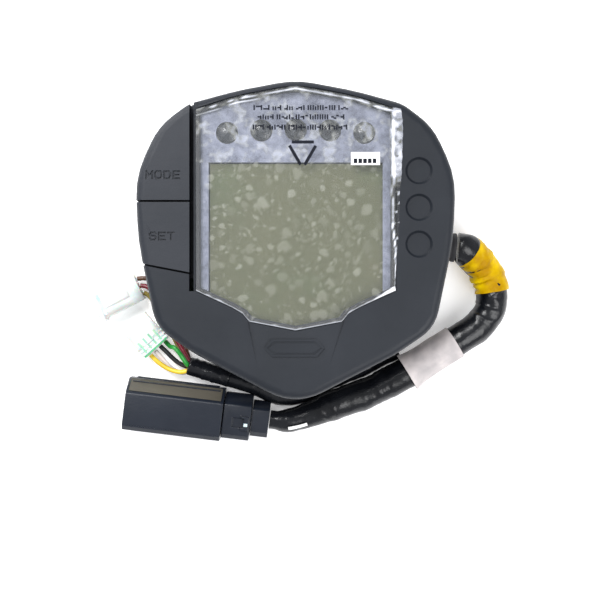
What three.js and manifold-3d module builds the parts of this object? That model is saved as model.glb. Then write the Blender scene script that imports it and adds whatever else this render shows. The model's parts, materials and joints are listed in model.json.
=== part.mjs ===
// Motorcycle instrument cluster: a display in a sealed two-part case with two keys, and its wiring loom.
// Millimetres. +X is the reader's right, +Y the top of the display, +Z out of the display.
// The origin is in the middle of the case in plan, on the plane of the three rear mounting bosses.

import * as THREE from 'three';
import { mergeVertices } from 'three/addons/utils/BufferGeometryUtils.js';
import Module from 'manifold-3d';

const wasm = await Module();
wasm.setup();

// ---------------------------------------------------------------- driving dimensions

// Heights of the case, from the table up.
const COVER_LOW = 8;
const COVER_FLOOR = 2.2;
const COVER_TOP = 26;
const BEZEL_LOW = 23.5;
const STEP_LOW = 28.1;
const STEP_TOP = 30;
const PLATE_LOW = 35.2;
const LEDGE_TOP = 37.5;
const BEZEL_TOP = 40;
const FRONT_ROUND = 3.2;

// Wall lines, as distances in from the outside of the case.
const SKIRT_WALL = 2.4;
const FRONT_WALL = 3;
const STEP_WALL = 5;
const COVER_OUT = 4.5;
const COVER_IN = 6.5;
const COVER_FLANGE_OUT = 2.8;
const PCB_EDGE = 7.5;

// Board and display stack.
const PCB_LOW = 20;
const PCB_TOP = 21.6;
const LCD_HALF = 38.5;
const LCD_Y = [-38.5, 35.2];
const APERTURE_HALF = 36;
const APERTURE_TOP = 32.3;
const MASK_LOW = 34;
const MASK_TOP = 34.8;
const TELLTALES = [[-28.4, 44.5], [-14.2, 45.5], [0, 45.8], [14.2, 45.5], [28.4, 44.5]];
const TELLTALE_R = 4.3;
const TELLTALE_Z = [33.6, 35];

// Keys on the left, and the bay that they sit in.
const KEY_RIGHT = -43.6;
const BAY_RIGHT = -41.9;
const BAY_WALL = 1.5;
const KEY_SLIT_Y = 16;
const SLIT_HALF = 0.4;
const SHELF_LOW = 29;
const SHELF_TOP = 31;
const KEY_LOW = 32.3;
const KEY_CEILING = 37.6;
const KEY_WALL = 1.8;
const STEM_LOW = 26.8;
const STEM_R = 2.5;
const MODE_STEM = [-51.5, 27];
const SET_STEM = [-52.5, 2];
const SLOT_END_Y = -21;

// Dimples on the right, fixings and bosses.
const DIMPLES = [[50.6, 28.4], [50.6, 13.4], [50.6, -1.7]];
const SCREWS = [[-44.5, 43], [44.5, 43], [-48.5, -27], [48.5, -27], [-21, -46], [21, -46]];
const BOSSES = [[0, 46], [-34, -36], [34, -36]];
const BOSS_R = 8;
const POST_R = 3.5;
const POST_LOW = 13.2;

// Loom and connectors.
const GLAND_AT = [60.3, -1.5, 16.4];
const GLAND_TURN = -6;
const LOOM_R = 6.6;
const PLUG_BRANCH_R = 4;
const AUX_BRANCH_R = 3.4;
const WIRE_R = 1;
const CONNECTOR_AT = [-73.2, -68.9];
const CONNECTOR_TURN = -6.9;
const GAP = 0.3;
const BIG = 100;

// Half outlines, from the bottom middle up the right side to the top middle: x, y, corner radius.
const CASE_HALF = [
  [0, -68.5, 25], [42, -46.6, 42], [57.5, -36, 18], [65, 0, 100], [66, 26.5, 38],
  [56.5, 47, 38], [44, 56.3, 16], [24, 61.7, 90], [0, 66.2, 40],
];
const WINDOW_HALF = [
  [0, -37.5, 3], [19, -33.8, 3], [21.5, -30.6, 2.5], [26, -28, 6], [41.3, -21, 1.2],
  [41.5, 54, 1.4], [24, 59.5, 60], [0, 64, 40],
];

// ---------------------------------------------------------------- materials

function plastic(color, roughness, metalness = 0) {
  return new THREE.MeshStandardMaterial({ color, roughness, metalness });
}

function clear(color, roughness) {
  return new THREE.MeshStandardMaterial({ color, roughness, transparent: true, opacity: 0.3 });
}

const MATERIALS = {
  caseBlack: plastic(0x43464f, 0.55),
  keyRubber: plastic(0x4a4d57, 0.7),
  clear: clear(0xd9dee4, 0.08),
  film: clear(0xf2f3f6, 0.15),
  maskGrey: plastic(0x9a9cab, 0.35, 0.3),
  smoke: plastic(0x3c3d42, 0.25),
  lcdOlive: plastic(0x8e8f7a, 0.3),
  whitePlastic: plastic(0xe9e9e4, 0.45),
  paper: plastic(0xf4f4f2, 0.8),
  pcbGreen: plastic(0x1f5a3a, 0.5),
  componentBlack: plastic(0x222225, 0.5),
  brass: plastic(0xb08d4a, 0.35, 1),
  steel: plastic(0x9aa0a6, 0.35, 1),
  rubber: plastic(0x26272b, 0.8),
  loomTape: plastic(0x1b1c20, 0.35),
  yellowTape: plastic(0xf2bd12, 0.35),
  labelLilac: plastic(0xc9c8d4, 0.7),
  connectorBlack: plastic(0x2b2f38, 0.45),
  nylon: plastic(0xe6ece4, 0.4),
  wireGreen: plastic(0x2f9a3c, 0.4),
  wireYellow: plastic(0xe6c02a, 0.4),
  wireWhite: plastic(0xe8dfe0, 0.4),
  wireBlack: plastic(0x1d1c1e, 0.4),
  wireRed: plastic(0x7a1e28, 0.4),
  wireBrown: plastic(0x5a3a26, 0.4),
  wireOlive: plastic(0x8a7a3a, 0.4),
};

// ---------------------------------------------------------------- outlines

// A right half outline with its mirror image, counter-clockwise.
function mirrored(half) {
  const left = half.filter(([x]) => x > 0).reverse();
  return [...half, ...left.map(([x, y, r]) => [-x, y, r])];
}

// Moves every side of a counter-clockwise outline inwards by a distance, keeping its corner radii round.
function inset(corners, distance) {
  const count = corners.length;
  const sides = corners.map(([x, y], i) => {
    const [nextX, nextY] = corners[(i + 1) % count];
    const along = new THREE.Vector2(nextX - x, nextY - y).normalize();
    const inward = new THREE.Vector2(-along.y, along.x);
    return { along, at: new THREE.Vector2(x, y).addScaledVector(inward, distance) };
  });
  return corners.map(([, , radius], i) => {
    const before = sides[(i + count - 1) % count];
    const after = sides[i];
    const offset = after.at.clone().sub(before.at);
    const step = offset.cross(after.along) / before.along.cross(after.along);
    const corner = before.at.clone().addScaledVector(before.along, step);
    return [corner.x, corner.y, Math.max(radius - distance, 0.4)];
  });
}

// Points of an outline whose corners are rounded, a point about every 9 degrees of turn.
function rounded(corners) {
  const points = [];
  const count = corners.length;
  corners.forEach(([x, y, radius], i) => {
    const corner = new THREE.Vector2(x, y);
    const back = new THREE.Vector2(...corners[(i + count - 1) % count]).sub(corner);
    const ahead = new THREE.Vector2(...corners[(i + 1) % count]).sub(corner);
    const turn = Math.PI - back.angleTo(ahead);
    const reach = radius * Math.tan(turn / 2);
    const cut = Math.min(reach, back.length() * 0.48, ahead.length() * 0.48);
    const arc = new THREE.QuadraticBezierCurve(
      corner.clone().addScaledVector(back.normalize(), cut),
      corner,
      corner.clone().addScaledVector(ahead.normalize(), cut),
    );
    points.push(...arc.getPoints(Math.max(1, Math.ceil(turn / 0.16))));
  });
  return points;
}

function outline(half, distance = 0) {
  return rounded(inset(mirrored(half), distance));
}

// ---------------------------------------------------------------- solids

function vectors(pairs) {
  return pairs.map(([x, y]) => new THREE.Vector2(x, y));
}

// Turns a closed three.js geometry into a solid for joining and cutting, with its faces pointing out.
function solid(geometry) {
  const bare = geometry.clone();
  bare.deleteAttribute('normal');
  bare.deleteAttribute('uv');
  const merged = mergeVertices(bare, 1e-4);
  const vertProperties = new Float32Array(merged.attributes.position.array);
  const triangles = [];
  for (let i = 0; i < merged.index.count; i += 3) {
    const [a, b, c] = merged.index.array.slice(i, i + 3);
    if (a !== b && b !== c && c !== a) triangles.push([a, b, c]);
  }
  const corner = (i) => new THREE.Vector3().fromArray(vertProperties, 3 * i);
  const volume = triangles.reduce((sum, [a, b, c]) => sum + corner(a).dot(corner(b).cross(corner(c))), 0);
  const facing = volume < 0 ? triangles.map(([a, b, c]) => [a, c, b]) : triangles;
  const triVerts = new Uint32Array(facing.flat());
  return new wasm.Manifold(new wasm.Mesh({ numProp: 3, vertProperties, triVerts }));
}

function geometryOf(body) {
  const mesh = body.getMesh();
  const geometry = new THREE.BufferGeometry();
  geometry.setAttribute('position', new THREE.BufferAttribute(new Float32Array(mesh.vertProperties), 3));
  geometry.setIndex(new THREE.BufferAttribute(new Uint32Array(mesh.triVerts), 1));
  geometry.computeVertexNormals();
  return geometry;
}

function join(...bodies) {
  return bodies.reduce((whole, body) => whole.add(body));
}

function prism(points, low, high) {
  const shape = new THREE.Shape(points);
  const geometry = new THREE.ExtrudeGeometry(shape, { depth: high - low, bevelEnabled: false });
  return solid(geometry.translate(0, 0, low));
}

function slab(x0, y0, z0, x1, y1, z1) {
  const geometry = new THREE.BoxGeometry(x1 - x0, y1 - y0, z1 - z0);
  return solid(geometry.translate((x0 + x1) / 2, (y0 + y1) / 2, (z0 + z1) / 2));
}

function drum([x, y], radius, low, high, sides = 24) {
  const geometry = new THREE.CylinderGeometry(radius, radius, high - low, sides);
  return solid(geometry.rotateX(Math.PI / 2).translate(x, y, (low + high) / 2));
}

// A turned piece on an upright axis. Its profile is radius and height, ending on the axis or closed.
function turned([x, y], profile, sides = 24) {
  const geometry = new THREE.LatheGeometry(vectors(profile), sides);
  return solid(geometry.rotateX(Math.PI / 2).translate(x, y, 0));
}

const cluster = new THREE.Group();

// Adds a named sub-part to a group, from a solid or from a plain geometry.
function place(name, shape, material, group = cluster) {
  const geometry = shape.isBufferGeometry ? shape : geometryOf(shape);
  const mesh = new THREE.Mesh(geometry, MATERIALS[material]);
  mesh.name = name;
  group.add(mesh);
  return mesh;
}

// ---------------------------------------------------------------- case outline and key bay

// The case's outer form between two heights, with its front edge rounded.
function caseBlank(low, high) {
  const depth = high - low;
  const geometry = new THREE.ExtrudeGeometry(new THREE.Shape(outline(CASE_HALF)), {
    depth,
    bevelThickness: FRONT_ROUND,
    bevelSize: FRONT_ROUND,
    bevelOffset: -FRONT_ROUND,
    bevelSegments: 4,
  });
  const body = solid(geometry.translate(0, 0, low - FRONT_ROUND));
  return body.subtract(slab(-BIG, -BIG, low - 2 * FRONT_ROUND, BIG, BIG, low));
}

// The slanted slit under the lower key.
function lowSlitY(x) {
  return -13.7 - 0.1925 * (x + 43.3);
}

function leftRegion(right, low, high) {
  return vectors([[right, low(right)], [right, high], [-BIG, high], [-BIG, low(-BIG)]]);
}

const bayFloorEdge = (x) => lowSlitY(x) - SLIT_HALF;
const bay = leftRegion(BAY_RIGHT, bayFloorEdge, BIG);
const bayWithWall = leftRegion(BAY_RIGHT + BAY_WALL, (x) => bayFloorEdge(x) - BAY_WALL, BIG);

// ---------------------------------------------------------------- front bezel

function badge(margin, low, high) {
  const half = 12.3 - margin;
  const side = 3.6 - margin;
  const corner = half - 3;
  const points = [[-half, 0], [-corner, -side], [corner, -side], [half, 0], [corner, side], [-corner, side]];
  return prism(vectors(points.map(([x, y]) => [x - 0.5, y - 44.3])), low, high);
}

// The panel under the window: sunk at the window and rising to the front face lower down.
function sunkPanel() {
  const wedge = new THREE.Shape(vectors([[-26, 38.5], [-52, BEZEL_TOP], [-52, 45], [-26, 45]]));
  const geometry = new THREE.ExtrudeGeometry(wedge, { depth: 60, bevelEnabled: false });
  geometry.rotateX(Math.PI / 2).rotateZ(Math.PI / 2).translate(-30, 0, 0);
  const creases = [[-15.6, -53], [13.4, -53], [20, -33.5], [22.2, -28], [-22.2, -28], [-19.6, -33.5]];
  return solid(geometry).intersect(prism(vectors(creases), 30, 50));
}

function dimple(at) {
  const profile = [[0, 38.8], [4.7, 38.8], [5.7, 40.1], [5.7, 41], [0, 41]];
  return turned(at, profile, 32);
}

function frontBezel() {
  const upperRoom = join(
    prism(outline(CASE_HALF, STEP_WALL), 27, STEP_TOP + 0.5),
    prism(outline(CASE_HALF, FRONT_WALL), STEP_TOP, PLATE_LOW),
  ).subtract(prism(bayWithWall, SHELF_LOW, BEZEL_TOP));
  const shell = caseBlank(BEZEL_LOW, BEZEL_TOP)
    .subtract(prism(outline(CASE_HALF, SKIRT_WALL), 20, STEP_LOW))
    .subtract(upperRoom)
    .subtract(prism(bay, SHELF_TOP, 60))
    .subtract(slab(KEY_RIGHT - 0.1, SLOT_END_Y, 33, BAY_RIGHT, -10, 60))
    .subtract(slab(BAY_RIGHT - 1, SLOT_END_Y, 38.4, BAY_RIGHT + 2, BIG, 60));
  const posts = SCREWS.map((at) => {
    const underShelf = at[0] < 0 && at[1] > 0;
    return drum(at, POST_R, POST_LOW, (underShelf ? SHELF_LOW : PLATE_LOW) + 1);
  });
  const stemHole = (at) => drum(at, STEM_R + 0.6, SHELF_LOW - 1, SHELF_TOP + 1, 20);
  const body = join(shell, ...posts)
    .subtract(prism(outline(WINDOW_HALF), LEDGE_TOP, 60))
    .subtract(prism(outline(WINDOW_HALF, 2.2), 30, 60))
    .subtract(sunkPanel())
    .subtract(join(...DIMPLES.map(dimple)))
    .subtract(join(...SCREWS.map((at) => drum(at, 1.75, POST_LOW - 1, 25.5, 12))))
    .subtract(join(...[MODE_STEM, SET_STEM].map(stemHole)));
  const groove = badge(0.9, 39.95, 41).subtract(badge(1.6, 39, 42));
  return join(body, badge(0, 39, 40.25)).subtract(groove);
}

place('front_bezel', frontBezel(), 'caseBlack');

// ---------------------------------------------------------------- keys

// Stroke letters on a grid one unit wide and high, for the engraved words on the keys.
const GLYPHS = {
  M: [[[0, 0], [0, 1], [0.5, 0.4], [1, 1], [1, 0]]],
  O: [[[0.2, 0], [0, 0.25], [0, 0.75], [0.2, 1], [0.8, 1], [1, 0.75], [1, 0.25], [0.8, 0], [0.2, 0]]],
  D: [[[0, 0], [0, 1], [0.7, 1], [1, 0.7], [1, 0.3], [0.7, 0], [0, 0]]],
  E: [[[1, 0], [0, 0], [0, 1], [1, 1]], [[0, 0.5], [0.85, 0.5]]],
  S: [[
    [1, 0.8], [0.8, 1], [0.2, 1], [0, 0.8], [0, 0.65], [0.2, 0.52],
    [0.8, 0.48], [1, 0.35], [1, 0.2], [0.8, 0], [0.2, 0], [0, 0.2],
  ]],
  T: [[[0, 1], [1, 1]], [[0.5, 1], [0.5, 0]]],
};
const LETTER = { width: 2.5, height: 2.9, pitch: 3.7, stroke: 0.65, depth: 0.7 };

function stroke(from, to) {
  const half = LETTER.stroke / 2;
  const length = from.distanceTo(to) + LETTER.stroke;
  const geometry = new THREE.BoxGeometry(length, LETTER.stroke, 2);
  const middle = from.clone().add(to).multiplyScalar(0.5);
  geometry.translate(0, 0, BEZEL_TOP - LETTER.depth + 1);
  geometry.rotateZ(to.clone().sub(from).angle()).translate(middle.x, middle.y, 0);
  return solid(geometry);
}

function word(text, [x, y]) {
  const left = x - ((text.length - 1) * LETTER.pitch) / 2;
  const strokes = [...text].flatMap((letter, i) => GLYPHS[letter].flatMap((line) => {
    const corner = new THREE.Vector2(left + i * LETTER.pitch - LETTER.width / 2, y - LETTER.height / 2);
    const at = ([u, v]) => new THREE.Vector2(u * LETTER.width, v * LETTER.height).add(corner);
    return line.slice(1).map((end, k) => stroke(at(line[k]), at(end)));
  }));
  return join(...strokes);
}

// A key cap: a piece of the case's own front with a hollow back, and a stem that reaches down to its switch.
function keyCap(low, high, stem, text, textAt) {
  const blank = caseBlank(KEY_LOW, BEZEL_TOP).intersect(prism(leftRegion(KEY_RIGHT, low, high), 30, 60));
  const hollowEdge = (x) => low(x) + KEY_WALL;
  const within = leftRegion(KEY_RIGHT - KEY_WALL, hollowEdge, high - KEY_WALL);
  const hollow = prism(outline(CASE_HALF, KEY_WALL + 0.4), 20, KEY_CEILING).intersect(prism(within, 20, 60));
  const stemRod = drum(stem, STEM_R, STEM_LOW, KEY_CEILING + 1, 20);
  return join(blank.subtract(hollow), stemRod).subtract(word(text, textAt));
}

// The rubber boot that seals a key's stem to the shelf.
function sealBoot(at) {
  return turned(at, [
    [4.2, SHELF_TOP + 0.05], [6, SHELF_TOP + 0.05], [6, 31.9], [5.1, 32.4], [4.5, 35.5], [4.1, 37.5],
    [2.9, 37.5], [3.5, 35.2], [4.2, 32.2], [4.2, SHELF_TOP + 0.05],
  ], 16);
}

const modeLow = () => KEY_SLIT_Y + SLIT_HALF;
const setLow = (x) => lowSlitY(x) + SLIT_HALF;
place('mode_key', keyCap(modeLow, BIG, MODE_STEM, 'MODE', [-54.4, 26.7]), 'keyRubber');
place('set_key', keyCap(setLow, KEY_SLIT_Y - SLIT_HALF, SET_STEM, 'SET', [-54.8, 1.6]), 'keyRubber');
place('mode_seal_boot', sealBoot(MODE_STEM), 'rubber');
place('set_seal_boot', sealBoot(SET_STEM), 'rubber');

// ---------------------------------------------------------------- window

const LENS_LOW = 37.9;
const LENS_TOP = 39.2;

function windowSheet(margin, low, high) {
  return prism(outline(WINDOW_HALF, margin), low, high);
}

const sealBand = windowSheet(0.4, LEDGE_TOP + 0.05, LENS_LOW - 0.05);
place('lens_seal', sealBand.subtract(windowSheet(1.8, 30, 60)), 'rubber');
place('window_lens', windowSheet(0.3, LENS_LOW, LENS_TOP), 'clear');
place('protective_film', windowSheet(0.5, LENS_TOP + 0.05, 39.5), 'film');
place('blank_sticker', slab(22.7, 30.75, 39.55, 34.6, 36.05, 39.75), 'paper');

// ---------------------------------------------------------------- display stack

function displayMask() {
  const openings = TELLTALES.map((at) => drum(at, TELLTALE_R + GAP, 30, 40, 20));
  return windowSheet(1.5, MASK_LOW, MASK_TOP)
    .subtract(slab(-APERTURE_HALF, -BIG, 30, APERTURE_HALF, APERTURE_TOP, 40))
    .subtract(join(...openings));
}

// The tray that holds the display and its light guide above the board.
function displayHolder() {
  const outside = slab(-40, -40, PCB_TOP + 0.1, 40, 36.6, 33.8);
  const room = slab(-38.8, -38.8, 24.9, 38.8, 35.5, 40);
  const floorWindow = slab(-30, -30, 20, 30, 26, 26);
  const stripSlot = slab(-34.3, 33.3, 20, 34.3, 35.3, 26);
  return outside.subtract(room).subtract(floorWindow).subtract(stripSlot);
}

function telltaleBox() {
  const bores = TELLTALES.map((at) => drum(at, TELLTALE_R - 0.5, 10, 50, 14));
  return slab(-34.5, 38.6, PCB_TOP + 0.1, 34.5, 51.6, 33.5).subtract(join(...bores));
}

place('display_mask', displayMask(), 'maskGrey');
TELLTALES.forEach((at, i) => {
  place(`telltale_lens_${i + 1}`, drum(at, TELLTALE_R, ...TELLTALE_Z, 24), 'smoke');
});
place('telltale_light_box', telltaleBox(), 'whitePlastic');
place('lcd_panel', slab(-LCD_HALF, LCD_Y[0], 31, LCD_HALF, LCD_Y[1], 33.4), 'lcdOlive');
place('backlight_guide', slab(-37.5, -37.5, 25, 37.5, 32.8, 30.8), 'whitePlastic');
place('display_holder', displayHolder(), 'whitePlastic');
place('zebra_strip', slab(-34, 33.6, PCB_TOP + 0.05, 34, 35, 30.9), 'rubber');

// ---------------------------------------------------------------- board

const SWITCH_HALF = 3;
const SWITCH_TOP = 25.3;

function mainBoard() {
  const notches = SCREWS.map((at) => drum(at, POST_R + 0.8, 10, 30, 20));
  const glandNotch = slab(GLAND_AT[0] - 6.5, GLAND_AT[1] - 7, 10, BIG, GLAND_AT[1] + 7, 30);
  return prism(outline(CASE_HALF, PCB_EDGE), PCB_LOW, PCB_TOP).subtract(join(...notches, glandNotch));
}

function switchBody([x, y]) {
  const half = SWITCH_HALF;
  const box = slab(x - half, y - half, PCB_TOP + 0.05, x + half, y + half, SWITCH_TOP);
  return box.subtract(drum([x, y], 2, 22.4, 30, 16));
}

// A surface-mount chip with its leg rows, as one body.
function chip([x, y], half, low, high) {
  const body = slab(x - half, y - half, low + 0.25, x + half, y + half, high);
  const legs = [];
  [-half / 2, half / 2].forEach((along) => {
    legs.push(slab(x + along - 2, y - half - 1, low, x + along + 2, y + half + 1, low + 0.5));
    legs.push(slab(x - half - 1, y + along - 2, low, x + half + 1, y + along + 2, low + 0.5));
  });
  return join(body, ...legs);
}

place('main_pcb', mainBoard(), 'pcbGreen');
[['mode', MODE_STEM], ['set', SET_STEM]].forEach(([name, at]) => {
  place(`${name}_switch`, switchBody(at), 'componentBlack');
  place(`${name}_switch_button`, drum(at, 1.7, 23.6, STEM_LOW - 0.1, 16), 'whitePlastic');
});
place('microcontroller', chip([8, -4], 7, PCB_TOP + 0.05, PCB_TOP + 1.6), 'componentBlack');
place('capacitor', drum([20, -18], 5, 12, PCB_LOW - 0.05, 20), 'componentBlack');
const headerMouth = slab(42, -8, 13.2, 46, 10, 16.8);
place('pcb_header', slab(36, -9, 12.2, 44, 11, PCB_LOW - 0.05).subtract(headerMouth), 'whitePlastic');

// ---------------------------------------------------------------- rear cover and fixings

const SCREW_SEAT = 10.6;
const INSERT_DEPTH = 7;
const VENT_AT = [0, -18];

// Two crossed ribs that brace a mounting boss against the cover.
function bossGussets([x, y]) {
  const reach = BOSS_R + 4;
  const top = COVER_LOW + 1;
  return [slab(x - reach, y - 1, 5, x + reach, y + 1, top), slab(x - 1, y - reach, 5, x + 1, y + reach, top)];
}

function rearCover() {
  const limit = prism(outline(CASE_HALF, COVER_OUT), 0, COVER_TOP);
  const walls = prism(outline(CASE_HALF, COVER_OUT), COVER_LOW, COVER_TOP);
  const flange = prism(outline(CASE_HALF, COVER_FLANGE_OUT), 24.2, COVER_TOP);
  const room = prism(outline(CASE_HALF, COVER_IN), COVER_LOW + COVER_FLOOR, 30);
  const bosses = BOSSES.flatMap((at) => [drum(at, BOSS_R, 0, COVER_LOW + 1, 24), ...bossGussets(at)]);
  const seats = SCREWS.map((at) => drum(at, 4.4, COVER_LOW, POST_LOW - 0.2, 16));
  const insertHoles = BOSSES.map((at) => drum(at, 4 + GAP, -1, INSERT_DEPTH + GAP, 16));
  const screwHoles = SCREWS.flatMap((at) => [drum(at, 3.2, 0, SCREW_SEAT, 16), drum(at, 1.75, 0, 20, 12)]);
  return join(walls, flange)
    .subtract(room)
    .add(join(...bosses).intersect(limit))
    .add(join(...seats))
    .subtract(join(...insertHoles, ...screwHoles))
    .subtract(atGland(new THREE.CylinderGeometry(5.9, 5.9, 12, 20)))
    .subtract(drum(VENT_AT, 1.6, 0, 20, 12));
}

// Puts a geometry made on the Y axis onto the cable gland's axis, its +Y pointing out of the case.
function atGland(geometry) {
  const turn = THREE.MathUtils.degToRad(GLAND_TURN) - Math.PI / 2;
  return solid(geometry.rotateZ(turn).translate(...GLAND_AT));
}

function insert(at) {
  const top = INSERT_DEPTH;
  return turned(at, [[2.1, 0], [4, 0], [4, 3], [3.6, 3.4], [4, 3.8], [4, top], [2.1, top], [2.1, 0]], 12);
}

// A pan-head screw, head down, with a six-sided socket.
function screw(at) {
  const seat = SCREW_SEAT - 0.05;
  const body = turned(at, [
    [0, seat - 2], [2.1, seat - 2], [2.8, seat - 1.4], [2.8, seat],
    [1.45, seat], [1.45, 24], [0.6, 25], [0, 25],
  ], 12);
  return body.subtract(drum(at, 1.3, 0, seat - 0.9, 6));
}

function ventCap([x, y]) {
  const cap = turned([x, y], [[0, 6], [4.6, 6], [5.6, 6.8], [5.6, 7.95], [1.3, 7.95], [1.3, 12], [0, 12]]);
  const grooves = [0, 1, 2].map((i) => {
    const geometry = new THREE.BoxGeometry(8, 0.7, 1).rotateZ((i * Math.PI) / 3).translate(x, y, 6);
    return solid(geometry);
  });
  return cap.subtract(join(...grooves));
}

const gasketBand = prism(outline(CASE_HALF, 3), COVER_TOP + 0.05, STEP_LOW - 0.05);
place('case_gasket', gasketBand.subtract(prism(outline(CASE_HALF, 4.8), 20, 30)), 'rubber');
place('rear_cover', rearCover(), 'caseBlack');
BOSSES.forEach((at, i) => place(`threaded_insert_${i + 1}`, insert(at), 'brass'));
SCREWS.forEach((at, i) => place(`case_screw_${i + 1}`, screw(at), 'steel'));
place('vent_cap', ventCap(VENT_AT), 'rubber');

// ---------------------------------------------------------------- loom

// Routes: straight out of the gland, down to the table, round the case and into the connectors.
const LOOM_ROUTE = [
  [69.2, -2.45, 16.4], [71.2, -2.7, 16.3], [73.6, -4, 15.2], [76, -6, 13.4], [79.2, -9.2, 10.8],
  [82.4, -13.6, 8.9], [84.6, -18.6, 8], [85.2, -23.8, 7.6], [84.1, -28.9, 7], [81.2, -33.6, 7],
  [76.6, -37.8, 7.6], [70, -42, 7.7], [62.6, -46.6, 7.7], [55.2, -51.4, 7.7], [47.6, -56.2, 7.7],
  [40.6, -60.1, 7.4], [33.6, -63.7, 6.8], [26.4, -66.6, 6.8], [17, -69.7, 7.1],
];
const PLUG_ROUTE = [
  [16.4, -69.9, 7.1], [11.6, -72, 7.3], [6, -74.3, 7.5], [1, -75.9, 7.6], [-3.5, -76.8, 7.6],
  [-7.3, -76.9, 7.6], [-11.3, -76.38, 7.6],
];
const AUX_ROUTE = [
  [44, -46.2, 3.7], [38.8, -49, 3.6], [33.6, -51.7, 3.6], [26.4, -55.1, 3.6], [20.5, -57.6, 3.6],
  [15, -59.6, 3.6], [9.5, -62.4, 3.6], [4, -65.2, 3.6], [-2, -66.8, 3.7], [-8, -66.2, 3.8],
  [-14, -63.7, 3.9], [-20, -61.2, 4], [-25.6, -59.4, 4], [-30.2, -58.2, 4.1],
];
const YELLOW_SPAN = [0.052, 0.235];
const LABEL_SPAN = [0.5, 0.7];
const LOOM_STEPS = 26;

function curveOf(route) {
  const points = route.map(([x, y, z]) => new THREE.Vector3(x, y, z));
  return new THREE.CatmullRomCurve3(points, false, 'centripetal');
}

// The stretch of a curve between two shares of its length, as a curve of its own.
function stretchOf(curve, [from, to], steps = 12) {
  const points = [];
  for (let i = 0; i <= steps; i += 1) points.push(curve.getPointAt(from + ((to - from) * i) / steps));
  return new THREE.CatmullRomCurve3(points);
}

function ring(radius, sides) {
  const points = [];
  for (let i = 0; i < sides; i += 1) {
    const angle = (2 * Math.PI * i) / sides;
    points.push(new THREE.Vector2(radius * Math.cos(angle), radius * Math.sin(angle)));
  }
  return points;
}

function tube(curve, radius, steps, sides = 12, bore = 0) {
  const section = new THREE.Shape(ring(radius, sides));
  if (bore > 0) section.holes.push(new THREE.Path(ring(bore, sides).reverse()));
  return solid(new THREE.ExtrudeGeometry(section, { steps, extrudePath: curve, bevelEnabled: false }));
}

const loomCurve = curveOf(LOOM_ROUTE);

// A sleeve wound round the main loom, held clear of it by the gap.
function sleeve(span, wall, steps) {
  return tube(stretchOf(loomCurve, span), LOOM_R + 0.4 + wall, steps, 12, LOOM_R + 0.4);
}

// A rubber grommet that grips the cover's wall and narrows onto the loom.
function gland() {
  const profile = [
    [3.4, -5.2], [6, -5.2], [6, -3.1], [5.5, -3.1], [5.5, 1.1], [6.7, 1.1], [6.7, 3], [5.9, 3.6],
    [6.5, 4.4], [6.5, 5.2], [5.8, 5.8], [6.2, 6.6], [6.2, 7.9], [3.4, 7.9], [3.4, -5.2],
  ];
  return atGland(new THREE.LatheGeometry(vectors(profile), 16));
}

place('cable_gland', gland(), 'rubber');
place('loom_main', tube(loomCurve, LOOM_R, LOOM_STEPS), 'loomTape');
place('yellow_tape_band', sleeve(YELLOW_SPAN, 0.7, 7), 'yellowTape');
place('label_wrap', sleeve(LABEL_SPAN, 0.4, 6), 'labelLilac');
place('branch_plug', tube(curveOf(PLUG_ROUTE), PLUG_BRANCH_R, 6, 10), 'loomTape');
place('branch_aux', tube(curveOf(AUX_ROUTE), AUX_BRANCH_R, 14, 10), 'loomTape');

// ---------------------------------------------------------------- sealed connector

// Local frame: +X from the mouth towards the cable, the cable's axis at y 0, the table at z 0.
const HOOD = { length: 42, half: 11.1, top: 17.5, wall: 2, shoulder: 5.5, depth: 36 };

// A section across the connector, with its near shoulder sloped, run along its length.
function connectorBody(x0, x1, half, low, high, shoulder) {
  const points = [
    [-half + 1.2, low], [half - 1.2, low], [half, low + 1.2], [half, high - shoulder - 2.5],
    [half - shoulder, high - 0.8], [half - shoulder - 1.2, high], [-half + 2, high], [-half, high - 2],
    [-half, low + 1.2],
  ];
  const shape = new THREE.Shape(vectors(points));
  const geometry = new THREE.ExtrudeGeometry(shape, { depth: x1 - x0, bevelEnabled: false });
  return solid(geometry.rotateX(Math.PI / 2).rotateZ(Math.PI / 2).translate(x0, 0, 0));
}

function hood() {
  const { length, half, top, wall, shoulder, depth } = HOOD;
  const body = connectorBody(0, length, half, 0, top, shoulder);
  const mouth = slab(-1, -half + wall, wall, depth, half - wall - 0.5, top - wall - 4);
  const upper = slab(-1, -half + wall, wall, depth, half - shoulder - wall, top - wall);
  const cableWay = slab(depth - 1, -6, 4, length + 1, 6, 12);
  const ribs = [0, 1].map((i) => slab(3, half - 1, 2.6 + i * 3.2, length - 3, half + 0.45, 3.4 + i * 3.2));
  ribs.push(slab(2, half - 1.5, 9, length - 2, half - 0.9, 12));
  return join(body, ...ribs).subtract(join(mouth, upper)).subtract(cableWay);
}

function terminalCarrier() {
  const { half, top, wall, depth } = HOOD;
  const inside = wall + GAP;
  const block = slab(16, inside - half, inside, depth - GAP, half - inside - 0.5, top - inside - 4);
  const bores = [];
  for (let i = -2; i <= 2; i += 1) {
    bores.push(slab(10, i * 3.4 - 1.2, 3.6, 26, i * 3.4 + 0.8, 5.6));
    bores.push(slab(10, i * 3.4 - 1.2, 7.4, 26, i * 3.4 + 0.8, 9.4));
  }
  return block.subtract(join(...bores));
}

function rearBody() {
  const body = connectorBody(42.3, 54.3, 9.7, 1, 15.4, 4);
  const latch = slab(46.5, -4.4, 14.6, 51.5, -0.4, 16.6);
  const strap = slab(50, -5.4, 15, 53.6, 0.6, 16.4);
  const bore = slab(40, -5.5, 4, 60, 5.5, 12);
  return join(body, strap).subtract(latch).subtract(bore);
}

function wireCover() {
  return connectorBody(54.6, 62, 7.6, 2, 13.2, 3).subtract(slab(50, -5, 4.2, 56.6, 5, 11.8));
}

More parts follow.
